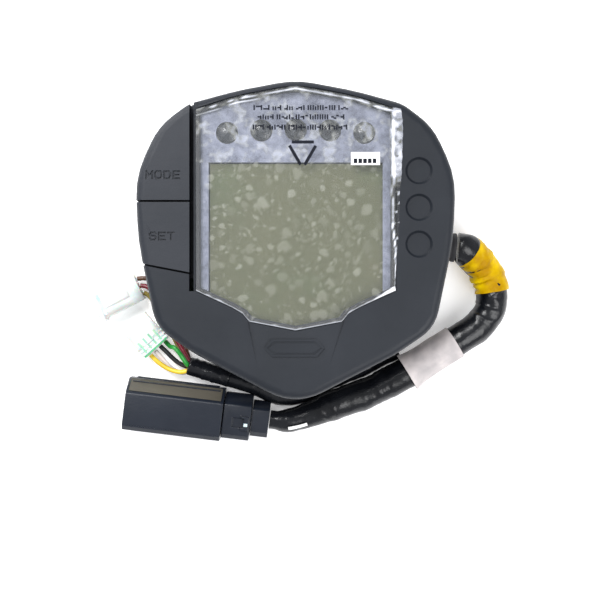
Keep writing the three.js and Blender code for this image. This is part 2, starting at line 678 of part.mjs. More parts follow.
const connector = new THREE.Group();
connector.position.set(...CONNECTOR_AT, 0);
connector.rotation.z = THREE.MathUtils.degToRad(CONNECTOR_TURN);
cluster.add(connector);
place('connector_hood', hood(), 'connectorBlack', connector);
place('terminal_carrier', terminalCarrier(), 'connectorBlack', connector);
place('connector_rear_body', rearBody(), 'connectorBlack', connector);
place('connector_wire_cover', wireCover(), 'connectorBlack', connector);

// ---------------------------------------------------------------- white connectors and their wires

const CELL_LOW = 2.6;

// A small nylon housing lying on the table: +X local from its wire end to its mating end.
function nylonHousing(length, half, high, cellYs, ribbed) {
  const body = slab(0, -half, 0.05, length, half, high);
  const latch = slab(length * 0.25, -2, high - 0.5, length * 0.8, 2, high + 1.2);
  const cells = cellYs.flatMap((y) => [
    slab(length - 5, y - 1.2, CELL_LOW, length + 1, y + 1.2, CELL_LOW + 3),
    slab(-1, y - 1.2, CELL_LOW, 2.4, y + 1.2, CELL_LOW + 3),
  ]);
  const collar = ribbed
    ? [0, 1, 2].map((i) => slab(0.6 + i * 1.7, -half - 0.5, 0.05, 1.5 + i * 1.7, half + 0.5, high + 0.5))
    : [slab(length - 2.4, -half - 0.8, 0.05, length - 0.4, half + 0.8, high + 0.6)];
  return join(body, latch, ...collar).subtract(join(...cells));
}

function placeConnector(name, shape, [x, y], degrees) {
  const mesh = place(name, shape, 'nylon');
  mesh.position.set(x, y, 0);
  mesh.rotation.z = THREE.MathUtils.degToRad(degrees);
}

const ribbedHousing = nylonHousing(15, 6.5, 9, [-4.35, -1.45, 1.45, 4.35], true);
const collaredHousing = nylonHousing(21, 6, 10, [-3.4, 0, 3.4], false);
placeConnector('white_connector_b', ribbedHousing, [-60.4, -45.3], 132.6);
placeConnector('white_connector_a', collaredHousing, [-68.2, -18.6], 207);

// Each wire runs from the end of the auxiliary branch to a cell at a connector's wire end.
const WIRES = {
  wire_green: {
    colour: 'wireGreen',
    route: [
      [-30.8, -57.7, 7], [-35.8, -55.9, 7], [-41, -54.2, 7],
      [-46.5, -53.1, 7], [-47.6, -51.8, 8.4], [-48.8, -49.8, 9.6], [-50.2, -47.6, 10.2], [-51.8, -45.8, 9.8],
      [-53.2, -45, 8.2], [-54.4, -44.9, 6.2], [-55.6, -44, 4.7], [-56.9, -42.65, 4.1],
    ],
  },
  wire_black: {
    colour: 'wireBlack',
    route: [
      [-31.1, -58.5, 3.9], [-36.1, -56.7, 3.9], [-41.3, -54.9, 3.9],
      [-46.7, -53.9, 3.9], [-49, -53.1, 4], [-51.4, -51.8, 4.2], [-53.8, -49.8, 4.3], [-56, -47.6, 4.3],
      [-57.8, -45.9, 4.2], [-59.1, -44.6, 4.1],
    ],
  },
  wire_white: {
    colour: 'wireWhite',
    route: [
      [-31.8, -60.6, 2.9], [-36.8, -58.8, 2.9], [-42, -57, 2.9],
      [-47.2, -56, 2.9], [-49.6, -56.4, 1.9], [-52.4, -55.8, 1.3], [-55.2, -53.9, 1.2], [-57.6, -51.2, 1.9],
      [-59.6, -48.7, 3.2], [-61.1, -46.9, 4.1],
    ],
  },
  wire_yellow: {
    colour: 'wireYellow',
    route: [
      [-31.6, -60, 5.7], [-36.6, -58.2, 5.7], [-41.8, -56.5, 5.7],
      [-47, -55.4, 5.7], [-49.6, -55.9, 5.6], [-52.6, -55.6, 5.2], [-55.8, -54.4, 4.8], [-58.8, -52.6, 4.4],
      [-61.4, -50.5, 4.2], [-63.3, -48.6, 4.1],
    ],
  },
  wire_red: {
    colour: 'wireRed',
    route: [
      [-30.2, -56, 5.4], [-35.2, -54.2, 5.4], [-40.4, -52.5, 5.4],
      [-46.2, -51.3, 5.4], [-47.6, -49.4, 4.8], [-49.6, -46, 4], [-51.8, -42.4, 3.4], [-54, -38.6, 3.4],
      [-56.4, -34.6, 3.6], [-58.4, -30.6, 3.8], [-59.6, -27, 4.2], [-61, -23.4, 4.7], [-63, -20.2, 4.8],
      [-65.4, -18.6, 4.3], [-67.7, -18.4, 4.1],
    ],
  },
  wire_brown: {
    colour: 'wireBrown',
    route: [
      [-30.2, -56, 2.7], [-35.2, -54.2, 2.7], [-40.4, -52.5, 2.7],
      [-46.2, -51, 2.7], [-47.2, -48.8, 2.2], [-48.3, -45.6, 1.6], [-50, -41.6, 1.3], [-52.3, -37.4, 1.2],
      [-55.2, -33, 1.2], [-57, -28.6, 1.4], [-57.8, -24.4, 2], [-59.2, -20.4, 3], [-61.8, -17, 3.8],
      [-65.2, -15.2, 4.1], [-69.2, -15.3, 4.1],
    ],
  },
  wire_olive: {
    colour: 'wireOlive',
    route: [
      [-30.8, -57.9, 1.2], [-35.8, -56.1, 1.2], [-41, -54.5, 1.2],
      [-46.5, -53.1, 1.35], [-48.2, -50.6, 1.15], [-50.2, -47.2, 1.15], [-51.9, -44.2, 1.15],
      [-53.5, -41, 1.15],
      [-55.6, -37.4, 1.15], [-57.8, -33.6, 1.15], [-59.8, -29.6, 1.3], [-61.8, -26, 2], [-63.6, -23.4, 3],
      [-65, -22, 3.9], [-66.3, -21.45, 4.1],
    ],
  },
};

Object.entries(WIRES).forEach(([name, { colour, route }]) => {
  place(name, tube(curveOf(route), WIRE_R, 2 * route.length - 4, 8), colour);
});

export default cluster;
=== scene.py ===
"""Motorcycle instrument cluster lying on its back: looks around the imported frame. Metres."""
import json
import math
import random

import bpy
import numpy as np
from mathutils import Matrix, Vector, noise


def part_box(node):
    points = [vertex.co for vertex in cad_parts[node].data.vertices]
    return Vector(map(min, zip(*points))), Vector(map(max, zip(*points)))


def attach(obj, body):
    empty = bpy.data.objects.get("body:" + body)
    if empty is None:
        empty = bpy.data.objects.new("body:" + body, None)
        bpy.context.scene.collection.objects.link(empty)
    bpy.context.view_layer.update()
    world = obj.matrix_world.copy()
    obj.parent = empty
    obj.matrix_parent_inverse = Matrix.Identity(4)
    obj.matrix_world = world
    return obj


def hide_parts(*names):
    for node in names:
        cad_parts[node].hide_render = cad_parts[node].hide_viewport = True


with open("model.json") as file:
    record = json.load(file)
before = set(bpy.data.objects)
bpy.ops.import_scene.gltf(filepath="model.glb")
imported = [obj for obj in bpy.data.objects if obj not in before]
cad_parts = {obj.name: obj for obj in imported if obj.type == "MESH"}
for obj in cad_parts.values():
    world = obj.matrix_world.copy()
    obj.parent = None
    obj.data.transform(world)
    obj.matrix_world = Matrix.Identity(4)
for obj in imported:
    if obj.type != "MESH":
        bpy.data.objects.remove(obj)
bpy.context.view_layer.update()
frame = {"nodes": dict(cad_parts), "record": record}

MM = 0.001
nodes = frame["nodes"]
scene = bpy.context.scene

# ------------------------------------------------------------------ camera and light

CAMERA_AT = (0.0018, -0.0246, 0.6)
camera_data = bpy.data.cameras.new("camera")
camera_data.lens = 82
camera_data.sensor_width = 36
camera = bpy.data.objects.new("camera", camera_data)
camera.location = CAMERA_AT
scene.collection.objects.link(camera)
scene.camera = camera
scene.view_settings.view_transform = "Standard"


def area_light(name, at, aim, size, watts, colour=(1, 1, 1)):
    data = bpy.data.lights.new(name, "AREA")
    data.shape = "DISK"
    data.size = size
    data.energy = watts
    data.color = colour
    light = bpy.data.objects.new(name, data)
    light.location = at
    light.rotation_euler = (Vector(aim) - Vector(at)).to_track_quat("-Z", "Y").to_euler()
    scene.collection.objects.link(light)


area_light("key", (-0.38, 0.52, 1.15), (0, 0, 0), 0.5, 13)
area_light("fill", (0.7, -0.5, 1.1), (0, 0, 0), 0.9, 12)
area_light("rake", (-0.75, 0.72, 0.36), (0, 0, 0), 0.4, 7)

world = bpy.data.worlds.new("studio")
world.use_nodes = True
world.node_tree.nodes["Background"].inputs["Color"].default_value = (0.95, 0.96, 1, 1)
world.node_tree.nodes["Background"].inputs["Strength"].default_value = 0.7
scene.world = world

# ------------------------------------------------------------------ materials


class Look:
    """A procedural material: a Principled shader with helpers that add nodes in row-frame coordinates."""

    def __init__(self, name, rough=0.5, metal=0.0, **sockets):
        self.material = bpy.data.materials.new(name)
        self.material.use_nodes = True
        self.tree = self.material.node_tree
        self.shader = self.tree.nodes["Principled BSDF"]
        self.shader.inputs["Roughness"].default_value = rough
        self.shader.inputs["Metallic"].default_value = metal
        for socket, value in sockets.items():
            self.shader.inputs[socket.replace("_", " ")].default_value = value
        self.coords = self.add("ShaderNodeTexCoord").outputs["Object"]
        self.last_bump = None

    def add(self, kind, **settings):
        node = self.tree.nodes.new(kind)
        for name, value in settings.items():
            setattr(node, name, value)
        return node

    def link(self, source, target):
        self.tree.links.new(source, target)

    def noise(self, scale, detail=3, rough=0.5, stretch=None):
        """Noise with so many features to the metre; stretch scales the coordinates first."""
        node = self.add("ShaderNodeTexNoise")
        node.inputs["Scale"].default_value = scale
        node.inputs["Detail"].default_value = detail
        node.inputs["Roughness"].default_value = rough
        source = self.coords
        if stretch:
            mapping = self.add("ShaderNodeMapping")
            mapping.inputs["Scale"].default_value = stretch
            self.link(source, mapping.inputs["Vector"])
            source = mapping.outputs["Vector"]
        self.link(source, node.inputs["Vector"])
        return node.outputs["Fac"]

    def ramp(self, factor, stops):
        """A colour ramp over a factor; stops are (place, colour)."""
        node = self.add("ShaderNodeValToRGB")
        elements = node.color_ramp.elements
        while len(elements) < len(stops):
            elements.new(0.5)
        for element, (place, colour) in zip(elements, stops):
            element.position = place
            element.color = (*colour, 1)
        self.link(factor, node.inputs["Fac"])
        return node.outputs["Color"]

    def attribute(self, name):
        return self.add("ShaderNodeAttribute", attribute_name=name).outputs["Fac"]

    def colour(self, factor, dark, light, low=0.35, high=0.65):
        self.link(self.ramp(factor, [(low, dark), (high, light)]), self.shader.inputs["Base Color"])
        return self

    def roughness(self, factor, low, high):
        node = self.add("ShaderNodeMapRange")
        node.inputs["To Min"].default_value = low
        node.inputs["To Max"].default_value = high
        self.link(factor, node.inputs["Value"])
        self.link(node.outputs["Result"], self.shader.inputs["Roughness"])
        return self

    def bump(self, factor, depth):
        """A bump of so many metres, on top of any bump before it."""
        node = self.add("ShaderNodeBump")
        node.inputs["Distance"].default_value = depth
        self.link(factor, node.inputs["Height"])
        if self.last_bump:
            self.link(self.last_bump, node.inputs["Normal"])
        self.last_bump = node.outputs["Normal"]
        self.link(self.last_bump, self.shader.inputs["Normal"])
        return self


def moulded(name, dark, light, rough, grain=2600, depth=0.00004, **sockets):
    """Moulded plastic: soft cloudy colour, spark-eroded grain and uneven gloss."""
    look = Look(name, rough, **sockets)
    look.colour(look.noise(28, 4), dark, light, 0.3, 0.7)
    look.roughness(look.noise(160, 5, 0.6), rough - 0.07, rough + 0.09)
    look.bump(look.noise(grain, 2), depth)
    look.bump(look.noise(420, 3), depth)
    return look


def metal(name, dark, light, rough, stretch=(1, 1, 14)):
    look = Look(name, rough, 1.0)
    look.colour(look.noise(900, 3, 0.5, stretch), dark, light)
    look.roughness(look.noise(300, 3), rough - 0.08, rough + 0.12)
    look.bump(look.noise(1500, 3, 0.6, stretch), 0.00002)
    return look


def tape(name, dark, light, rough, crease=260, gloss=0.5):
    """Wound vinyl tape: glossy, with fine creases and a little dust."""
    look = Look(name, rough, Specular_IOR_Level=gloss)
    look.colour(look.noise(90, 4), dark, light)
    look.roughness(look.noise(240, 4), rough - 0.08, rough + 0.14)
    look.bump(look.noise(crease, 5, 0.62), 0.00035)
    look.bump(look.noise(1800, 2), 0.00003)
    return look


def insulated(name, dark, light):
    """Extruded wire insulation."""
    look = Look(name, 0.32)
    look.colour(look.noise(120, 3), dark, light)
    look.roughness(look.noise(500, 3), 0.26, 0.42)
    look.bump(look.noise(900, 3), 0.00004)
    return look


LOOKS = {
    "case_black": moulded("case_black", (0.011, 0.0135, 0.018), (0.017, 0.020, 0.026), 0.44,
                          Specular_IOR_Level=0.24),
    "key_rubber": moulded("key_rubber", (0.014, 0.017, 0.023), (0.021, 0.024, 0.031), 0.5, 1900,
                          Specular_IOR_Level=0.3),
    "connector_black": moulded("connector_black", (0.008, 0.011, 0.018), (0.013, 0.017, 0.026), 0.3, 1500,
                               Specular_IOR_Level=0.32),
    "white_plastic": moulded("white_plastic", (0.72, 0.72, 0.68), (0.8, 0.8, 0.77), 0.45),
    "component_black": moulded("component_black", (0.012, 0.012, 0.014), (0.022, 0.022, 0.024), 0.5),
    "seal_rubber": moulded("seal_rubber", (0.013, 0.013, 0.015), (0.022, 0.022, 0.025), 0.68, 1200, 0.00006),
    "pcb": moulded("pcb", (0.01, 0.08, 0.035), (0.02, 0.13, 0.06), 0.35),
    "brass": metal("brass", (0.5, 0.33, 0.11), (0.66, 0.46, 0.18), 0.28),
    "screw_steel": metal("screw_steel", (0.38, 0.39, 0.4), (0.58, 0.59, 0.6), 0.3),
    "loom_tape": tape("loom_tape", (0.0025, 0.003, 0.0045), (0.008, 0.009, 0.0115), 0.2, 170, 0.34),
    "yellow_tape": tape("yellow_tape", (0.36, 0.19, 0.0), (0.72, 0.50, 0.0), 0.4, 200, 0.08),
    "wire_green": insulated("wire_green", (0.01, 0.22, 0.03), (0.03, 0.36, 0.05)),
    "wire_yellow": insulated("wire_yellow", (0.72, 0.48, 0.02), (0.86, 0.6, 0.05)),
    "wire_white": insulated("wire_white", (0.66, 0.56, 0.56), (0.8, 0.74, 0.72)),
    "wire_dark": insulated("wire_dark", (0.008, 0.008, 0.01), (0.02, 0.018, 0.02)),
    "wire_red": insulated("wire_red", (0.13, 0.01, 0.02), (0.24, 0.02, 0.035)),
    "wire_brown": insulated("wire_brown", (0.05, 0.02, 0.01), (0.11, 0.045, 0.02)),
    "wire_olive": insulated("wire_olive", (0.22, 0.17, 0.03), (0.33, 0.26, 0.06)),
}


def paper_look(name, dark, light):
    look = Look(name, 0.7)
    look.colour(look.noise(140, 5), dark, light)
    look.bump(look.noise(2200, 3), 0.00004)
    look.bump(look.noise(70, 3), 0.0003)
    return look


def mask_look():
    """Printed silver mask: fine metallic fleck under a satin varnish, with cloudy patches."""
    look = Look("mask_grey", 0.36, 0.2)
    look.colour(look.noise(210, 8, 0.75), (0.085, 0.095, 0.14), (0.25, 0.27, 0.35), 0.34, 0.62)
    look.roughness(look.noise(3000, 2), 0.3, 0.48)
    look.bump(look.noise(90, 4), 0.0002)
    return look


def lcd_look():
    """Unlit liquid crystal: olive glass with cloudy patches."""
    look = Look("lcd", 0.5, Specular_IOR_Level=0.3)
    tint = look.ramp(look.noise(26, 5, 0.62), [
        (0.28, (0.073, 0.089, 0.033)), (0.45, (0.080, 0.083, 0.035)), (0.6, (0.086, 0.087, 0.037)),
        (0.75, (0.098, 0.087, 0.040)),
    ])
    look.link(tint, look.shader.inputs["Base Color"])
    look.roughness(look.noise(4000, 2), 0.45, 0.6)
    return look


def smoke_look():
    """Unlit tinted lens: dark grey, mottled where the lamp behind shows through."""
    look = Look("smoke", 0.3)
    patches = look.ramp(look.noise(700, 5, 0.7), [
        (0.4, (0.006, 0.007, 0.010)), (0.52, (0.02, 0.023, 0.03)), (0.68, (0.08, 0.088, 0.10)),
    ])
    look.link(patches, look.shader.inputs["Base Color"])
    look.roughness(look.noise(800, 3), 0.22, 0.4)
    return look


def lens_look():
    look = Look("clear_window", 0.06, Alpha=0.04)
    look.colour(look.noise(20, 2), (0.5, 0.55, 0.6), (0.6, 0.64, 0.68))
    look.roughness(look.noise(200, 4), 0.05, 0.12)
    return look


def film_look():
    """Clear film: whitish where it stands off the lens and where painted reflections and glints lie along its
    edges and folds, as its attribute says, and glossy all over.
    """
    look = Look("film", 0.2)
    whiteness = look.attribute("whiteness")
    tint = look.ramp(whiteness, [(0, (0.5, 0.5, 0.46)), (0.09, (0.62, 0.63, 0.57)), (0.2, (0.6, 0.63, 0.72)),
                            (0.45, (0.72, 0.74, 0.8)), (1, (0.95, 0.95, 0.97))])
    look.link(tint, look.shader.inputs["Base Color"])
    clear = look.add("ShaderNodeMapRange")
    clear.inputs["To Min"].default_value = 0.015
    clear.inputs["To Max"].default_value = 0.97
    look.link(whiteness, clear.inputs["Value"])
    look.link(clear.outputs["Result"], look.shader.inputs["Alpha"])
    look.roughness(look.noise(400, 4), 0.12, 0.3)
    look.bump(look.noise(420, 5, 0.6), 0.0001)
    return look


def nylon_look(name, dark, light):
    look = Look(name, 0.34, Subsurface_Weight=0.35, Subsurface_Scale=0.004)
    look.colour(look.noise(110, 4), dark, light)
    look.roughness(look.noise(500, 3), 0.26, 0.42)
    look.bump(look.noise(900, 3), 0.00005)
    return look


LOOKS.update({
    "paper": paper_look("paper", (0.86, 0.86, 0.85), (0.95, 0.95, 0.94)),
    "label_lilac": paper_look("label_lilac", (0.44, 0.41, 0.41), (0.62, 0.57, 0.56)),
    "mask_grey": mask_look(),
    "lcd": lcd_look(),
    "smoke": smoke_look(),
    "clear_window": lens_look(),
    "film": film_look(),
    "nylon": nylon_look("nylon", (0.70, 0.76, 0.73), (0.86, 0.89, 0.87)),
    "nylon_green": nylon_look("nylon_green", (0.22, 0.5, 0.3), (0.42, 0.68, 0.48)),
    "rim_green": nylon_look("rim_green", (0.05, 0.42, 0.16), (0.16, 0.62, 0.3)),
    "nylon_cyan": nylon_look("nylon_cyan", (0.5, 0.72, 0.76), (0.78, 0.88, 0.9)),
    # Painted sheen: a lighter warm brown that stands in for the light on the hood's sloped shoulder.
    "painted_sheen_brown": moulded("painted_sheen_brown", (0.055, 0.05, 0.038), (0.11, 0.10, 0.08), 0.42, 700),
    # Print ink, also used for the painted shadow strips along the display's edges.
    "ink_and_painted_shadow": moulded("ink_and_painted_shadow", (0.004, 0.005, 0.009), (0.014, 0.016, 0.024), 0.6, Specular_IOR_Level=0.1),
})

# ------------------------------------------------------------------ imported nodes: edges and finish

SLOT_OF = {part["node"]: part["material_slot"] for part in frame["record"]["subparts"]}
WELD_GAP = 0.002 * MM
BEVEL_ANGLE = math.radians(38)
SHARP_ANGLE = math.radians(32)
FLAT_FACE_WEIGHT = 80  # how far large flat faces decide the shading at their edges, from 1 to 100
# Edge radius of each node that has one, in millimetres.
BEVELS = {
    "front_bezel": 0.3, "mode_key": 0.4, "set_key": 0.4, "rear_cover": 0.4, "connector_hood": 0.5,
    "connector_rear_body": 0.4, "connector_wire_cover": 0.5, "terminal_carrier": 0.2, "window_lens": 0.2,
    "display_mask": 0.1, "pcb_header": 0.2, "microcontroller": 0.1, "vent_cap": 0.2, "cable_gland": 0.3,
}


def dress(name):
    """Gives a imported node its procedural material, rounded edges, and smooth faces between sharp ones."""
    node = nodes[name]
    mesh = node.data
    if "custom_normal" in mesh.attributes:
        mesh.attributes.remove(mesh.attributes["custom_normal"])
    mesh.materials.clear()
    mesh.materials.append(LOOKS[SLOT_OF[name]].material)
    mesh.polygons.foreach_set("use_smooth", [True] * len(mesh.polygons))
    weld = node.modifiers.new("weld", "WELD")
    weld.merge_threshold = WELD_GAP
    if name in BEVELS:
        bevel = node.modifiers.new("bevel", "BEVEL")
        bevel.width = BEVELS[name] * MM
        bevel.segments = 2
        bevel.limit_method = "ANGLE"
        bevel.angle_limit = BEVEL_ANGLE
    weighted = node.modifiers.new("weighted", "WEIGHTED_NORMAL")
    weighted.keep_sharp = True
    weighted.weight = FLAT_FACE_WEIGHT
    mesh.set_sharp_from_angle(angle=SHARP_ANGLE)


for node_name in nodes:
    dress(node_name)

# ------------------------------------------------------------------ mesh helpers


def piece(name, vertices, faces, look):
    """A smooth mesh piece with a look, riding on the case."""
    mesh = bpy.data.meshes.new(name)
    mesh.from_pydata([tuple(v) for v in vertices], [], faces)
    mesh.validate()
    mesh.polygons.foreach_set("use_smooth", [True] * len(mesh.polygons))
    mesh.materials.append(LOOKS[look].material)
    made = bpy.data.objects.new(name, mesh)
    scene.collection.objects.link(made)
    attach(made, "case")
    return made


def smooth_line(points, step):
    """Points about a step apart on the centripetal curve through a route, as an array."""
    route = [np.array(p, float) for p in points]
    route = [2 * route[0] - route[1]] + route + [2 * route[-1] - route[-2]]
    dense = []
    for p0, p1, p2, p3 in zip(route, route[1:], route[2:], route[3:]):
        d0, d1, d2 = (max(np.linalg.norm(b - a) ** 0.5, 1e-9) for a, b in ((p0, p1), (p1, p2), (p2, p3)))
        t1 = (p1 - p0) / d0 - (p2 - p0) / (d0 + d1) + (p2 - p1) / d1
        t2 = (p2 - p1) / d1 - (p3 - p1) / (d1 + d2) + (p3 - p2) / d2
        m1, m2 = t1 * d1, t2 * d1
        for u in np.linspace(0, 1, 24, endpoint=False):
            dense.append((2 * u**3 - 3 * u**2 + 1) * p1 + (u**3 - 2 * u**2 + u) * m1
                         + (3 * u**2 - 2 * u**3) * p2 + (u**3 - u**2) * m2)
    dense.append(route[-2])
    dense = np.array(dense)
    along = np.concatenate([[0], np.cumsum(np.linalg.norm(np.diff(dense, axis=0), axis=1))])
    count = max(8, round(along[-1] / step))
    at = np.linspace(0, along[-1], count + 1)
    return np.stack([np.interp(at, along, dense[:, k]) for k in range(3)], axis=1)


def line_frames(line):
    """For each point of a line, the level direction to the left of travel and the one above it."""
    tangents = np.gradient(line, axis=0)
    tangents /= np.linalg.norm(tangents, axis=1)[:, None]
    lefts = np.cross((0, 0, 1), tangents)
    lefts /= np.linalg.norm(lefts, axis=1)[:, None]
    return lefts, np.cross(tangents, lefts)


def line_length(line):
    return float(np.linalg.norm(np.diff(line, axis=0), axis=1).sum())


REST_Z = 0.05 * MM  # the lowest that a soft surface lies over the table
END_ANGLE = math.radians(50)


def around(centre, left, up, radius, angle):
    """The point at a radius and angle round a line's point: angle 0 is to the left, a quarter turn is up."""
    return centre + radius * (math.cos(angle) * left + math.sin(angle) * up)


def tube(name, line, radius, look, sides=48, bore=None):
    """A closed tube round a line, flattened where it rests on the table.
    radius(share, distance, angle) is in metres, with its angles as in around().
    With a bore, its ends are rings that close on an inner wall of that radius."""
    lefts, ups = line_frames(line)
    total = line_length(line)
    vertices = []
    count = len(line)
    for i, point in enumerate(line):
        share = i / (count - 1)
        for k in range(sides):
            angle = 2 * math.pi * k / sides
            vertex = around(point, lefts[i], ups[i], radius(share, share * total, angle), angle)
            vertex[2] = max(vertex[2], REST_Z)
            vertices.append(vertex)
    faces = []
    for i in range(count - 1):
        for k in range(sides):
            a, b = i * sides + k, i * sides + (k + 1) % sides
            faces.append((a, b, b + sides, a + sides))
    last = (count - 1) * sides
    if bore is None:
        faces += [tuple(range(sides - 1, -1, -1)), tuple(range(last, last + sides))]
    else:
        inner = len(vertices)
        for i in range(count):
            for k in range(sides):
                angle = 2 * math.pi * k / sides
                vertices.append(around(line[i], lefts[i], ups[i], bore, angle))
        for i in range(count - 1):
            for k in range(sides):
                a, b = inner + i * sides + k, inner + i * sides + (k + 1) % sides
                faces.append((a, a + sides, b + sides, b))
        for k in range(sides):
            n = (k + 1) % sides
            faces.append((k, inner + k, inner + n, n))
            faces.append((last + n, inner + last + n, inner + last + k, last + k))
    made = piece(name, vertices, faces, look)
    made.data.set_sharp_from_angle(angle=END_ANGLE)
    return made


def wobble(x, y, z, scale):
    """Smooth noise from -1 to 1 at a point in metres, with so many features to the metre."""
    return noise.noise(Vector((x * scale, y * scale, z * scale)))


# ------------------------------------------------------------------ cords

LOOM_ROUTE = [
    (69.2, -2.45, 16.4), (71.2, -2.7, 16.3), (73.6, -4, 15.2), (76, -6, 13.4), (79.2, -9.2, 10.8),
    (82.4, -13.6, 8.9), (84.6, -18.6, 8), (85.2, -23.8, 7.6), (84.1, -28.9, 7), (81.2, -33.6, 7),
    (76.6, -37.8, 7.6), (70, -42, 7.7), (62.6, -46.6, 7.7), (55.2, -51.4, 7.7), (47.6, -56.2, 7.7),
    (40.6, -60.1, 7.4), (33.6, -63.7, 6.8), (26.4, -66.6, 6.8), (17, -69.7, 7.1),
]
PLUG_ROUTE = [
    (11.6, -72, 7.3), (6, -74.3, 7.5), (1, -75.9, 7.6), (-3.5, -76.8, 7.6), (-7.3, -76.9, 7.6),
    (-11.3, -76.38, 7.6),
]
AUX_ROUTE = [
    (44, -46.2, 3.7), (38.8, -49, 3.6), (33.6, -51.7, 3.6), (26.4, -55.1, 3.6), (20.5, -57.6, 3.6),
    (15, -59.6, 3.6), (9.5, -62.4, 3.6), (4, -65.2, 3.6), (-2, -66.8, 3.7), (-8, -66.2, 3.8),
    (-14, -63.7, 3.9), (-20, -61.2, 4), (-25.6, -59.4, 4), (-30.2, -58.2, 4.1),
]
WIRE_ROUTES = {
    "wire_green": [
        (-30.8, -57.7, 7), (-35.8, -55.9, 7), (-41, -54.2, 7),
        (-46.5, -53.1, 7), (-47.6, -51.8, 8.4), (-48.8, -49.8, 9.6), (-50.2, -47.6, 10.2),
        (-51.8, -45.8, 9.8), (-53.2, -45, 8.2), (-54.4, -44.9, 6.2), (-55.6, -44, 4.7), (-56.9, -42.65, 4.1),
    ],
    "wire_black": [
        (-31.1, -58.5, 3.9), (-36.1, -56.7, 3.9), (-41.3, -54.9, 3.9),
        (-46.7, -53.9, 3.9), (-49, -53.1, 4), (-51.4, -51.8, 4.2), (-53.8, -49.8, 4.3), (-56, -47.6, 4.3),
        (-57.8, -45.9, 4.2), (-59.1, -44.6, 4.1),
    ],
    "wire_white": [
        (-31.8, -60.6, 2.9), (-36.8, -58.8, 2.9), (-42, -57, 2.9),
        (-47.2, -56, 2.9), (-49.6, -56.4, 1.9), (-52.4, -55.8, 1.3), (-55.2, -53.9, 1.2), (-57.6, -51.2, 1.9),
        (-59.6, -48.7, 3.2), (-61.1, -46.9, 4.1),
    ],
    "wire_yellow": [
        (-31.6, -60, 5.7), (-36.6, -58.2, 5.7), (-41.8, -56.5, 5.7),
        (-47, -55.4, 5.7), (-49.6, -55.9, 5.6), (-52.6, -55.6, 5.2), (-55.8, -54.4, 4.8), (-58.8, -52.6, 4.4),
        (-61.4, -50.5, 4.2), (-63.3, -48.6, 4.1),
    ],
    "wire_red": [
        (-30.2, -56, 5.4), (-35.2, -54.2, 5.4), (-40.4, -52.5, 5.4),
        (-46.2, -51.3, 5.4), (-47.6, -49.4, 4.8), (-49.6, -46, 4), (-51.8, -42.4, 3.4), (-54, -38.6, 3.4),
        (-56.4, -34.6, 3.6), (-58.4, -30.6, 3.8), (-59.6, -27, 4.2), (-61, -23.4, 4.7), (-63, -20.2, 4.8),
        (-65.4, -18.6, 4.3), (-67.7, -18.4, 4.1),
    ],
    "wire_brown": [
        (-30.2, -56, 2.7), (-35.2, -54.2, 2.7), (-40.4, -52.5, 2.7),
        (-46.2, -51, 2.7), (-47.2, -48.8, 2.2), (-48.3, -45.6, 1.6), (-50, -41.6, 1.3), (-52.3, -37.4, 1.2),
        (-55.2, -33, 1.2), (-57, -28.6, 1.4), (-57.8, -24.4, 2), (-59.2, -20.4, 3), (-61.8, -17, 3.8),
        (-65.2, -15.2, 4.1), (-69.2, -15.3, 4.1),
    ],
    "wire_olive": [
        (-30.8, -57.9, 1.2), (-35.8, -56.1, 1.2), (-41, -54.5, 1.2),
        (-46.5, -53.1, 1.35), (-48.2, -50.6, 1.15), (-50.2, -47.2, 1.15), (-51.9, -44.2, 1.15),
        (-53.5, -41, 1.15), (-55.6, -37.4, 1.15), (-57.8, -33.6, 1.15), (-59.8, -29.6, 1.3), (-61.8, -26, 2),
        (-63.6, -23.4, 3), (-65, -22, 3.9), (-66.3, -21.45, 4.1),
    ],
}
LOOM_R = 6.6 * MM
SPLIT_R = 5.2 * MM
PLUG_R = 4 * MM
AUX_R = 3.4 * MM
WIRE_R = 1 * MM
LOOM_LAP = 10 * MM
AUX_LAP = 7 * MM
YELLOW_LAP = 8.5 * MM
STEP = 0.7 * MM
BEND_END = 0.34  # share of the loom's line where its first bend ends
YELLOW_SPAN = (0.045, 0.235)
LABEL_SPAN = (0.492, 0.705)


def metres(route):
    return [tuple(MM * v for v in point) for point in route]


def wound(base, lap, ridge, crease, seed, bend=0.0):
    """The radius of a bundle wound with tape: a faint step at each lap, soft lumps, and narrow raised
    wrinkles that run across it here and there, most of all before the share where its bend ends."""
    def radius(share, distance, angle):
        across, up = math.cos(angle) * base(share), math.sin(angle) * base(share)
        turn = (distance / lap + angle / (2 * math.pi) + 1.4 * wobble(distance, 0, seed, 35)) % 1
        step = ridge * (turn if turn < 0.94 else (1 - turn) * 15.7)
        lumps = 0.45 * MM * wobble(distance, across, seed + up, 120)
        line = abs(wobble(distance, 0.35 * across, seed + 0.35 * up, 210))
        patch = min(max(0.35 + 1.6 * wobble(distance, across, seed + 0.02, 95), 0), 1)
        wrinkle = max(0, 1 - 5 * line) * patch * (1 if share < bend else 0.35)
        return base(share) + step + lumps + crease * wrinkle
    return radius


loom_line = smooth_line(metres(LOOM_ROUTE + PLUG_ROUTE), STEP)
loom_total = line_length(loom_line)
MAIN_SHARE = line_length(smooth_line(metres(LOOM_ROUTE), STEP)) / loom_total


def loom_base(share):
    """The loom's own radius: full to the split, thinner after it, and thinnest at the connector."""
    past = min(max((share - MAIN_SHARE) / 0.1, 0), 1)
    entry = min(max((share - 0.95) / 0.03, 0), 1)
    return LOOM_R + (SPLIT_R - LOOM_R) * past * past * (3 - 2 * past) + (PLUG_R - SPLIT_R) * entry


loom_radius = wound(loom_base, LOOM_LAP, 0.16 * MM, 0.75 * MM, 3.1, BEND_END)
loom = tube("loom", loom_line, loom_radius, "loom_tape", 64)
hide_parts("loom_main", "branch_plug")



def aux_base(share):
    """The branch's radius with the tape over it."""
    return AUX_R + 0.5 * MM


aux_line = smooth_line(metres(AUX_ROUTE), STEP)
aux = tube("aux_branch", aux_line, wound(aux_base, AUX_LAP, 0.14 * MM, 0.5 * MM, 7.7), "loom_tape", 40)
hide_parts("branch_aux")


